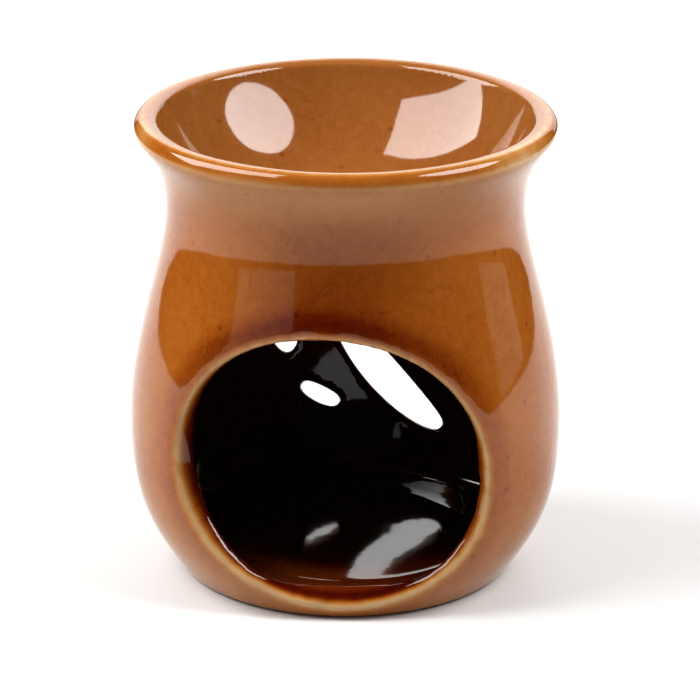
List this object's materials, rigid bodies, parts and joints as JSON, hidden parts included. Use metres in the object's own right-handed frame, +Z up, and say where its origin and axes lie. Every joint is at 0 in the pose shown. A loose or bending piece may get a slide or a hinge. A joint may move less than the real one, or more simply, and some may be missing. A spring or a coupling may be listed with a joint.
{
  "type": "essential oil burner",
  "caption": "Round glazed ceramic oil burner: bellied pot with an oval tea-light window, three air vents behind and a shallow oil dish in its lip.",
  "frame": {"origin": "middle of the underside, on the table", "axes": "+Z up along the axis of the pot; the window faces -Y"},
  "size_m": [0.09, 0.0884, 0.0975],
  "materials": {
    "pot_glaze": "glossy amber crackle glaze, ochre where it runs thin on the edges, near black inside",
    "floor_glaze": "glossy dark brown glaze above, bare clay underneath",
    "dish_glaze": "glossy amber crackle glaze, ochre on the lip"
  },
  "bodies": {
    "root": {"chamber_wall": "pot_glaze", "chamber_floor": "floor_glaze", "oil_dish": "dish_glaze"}
  },
  "joints": []
}
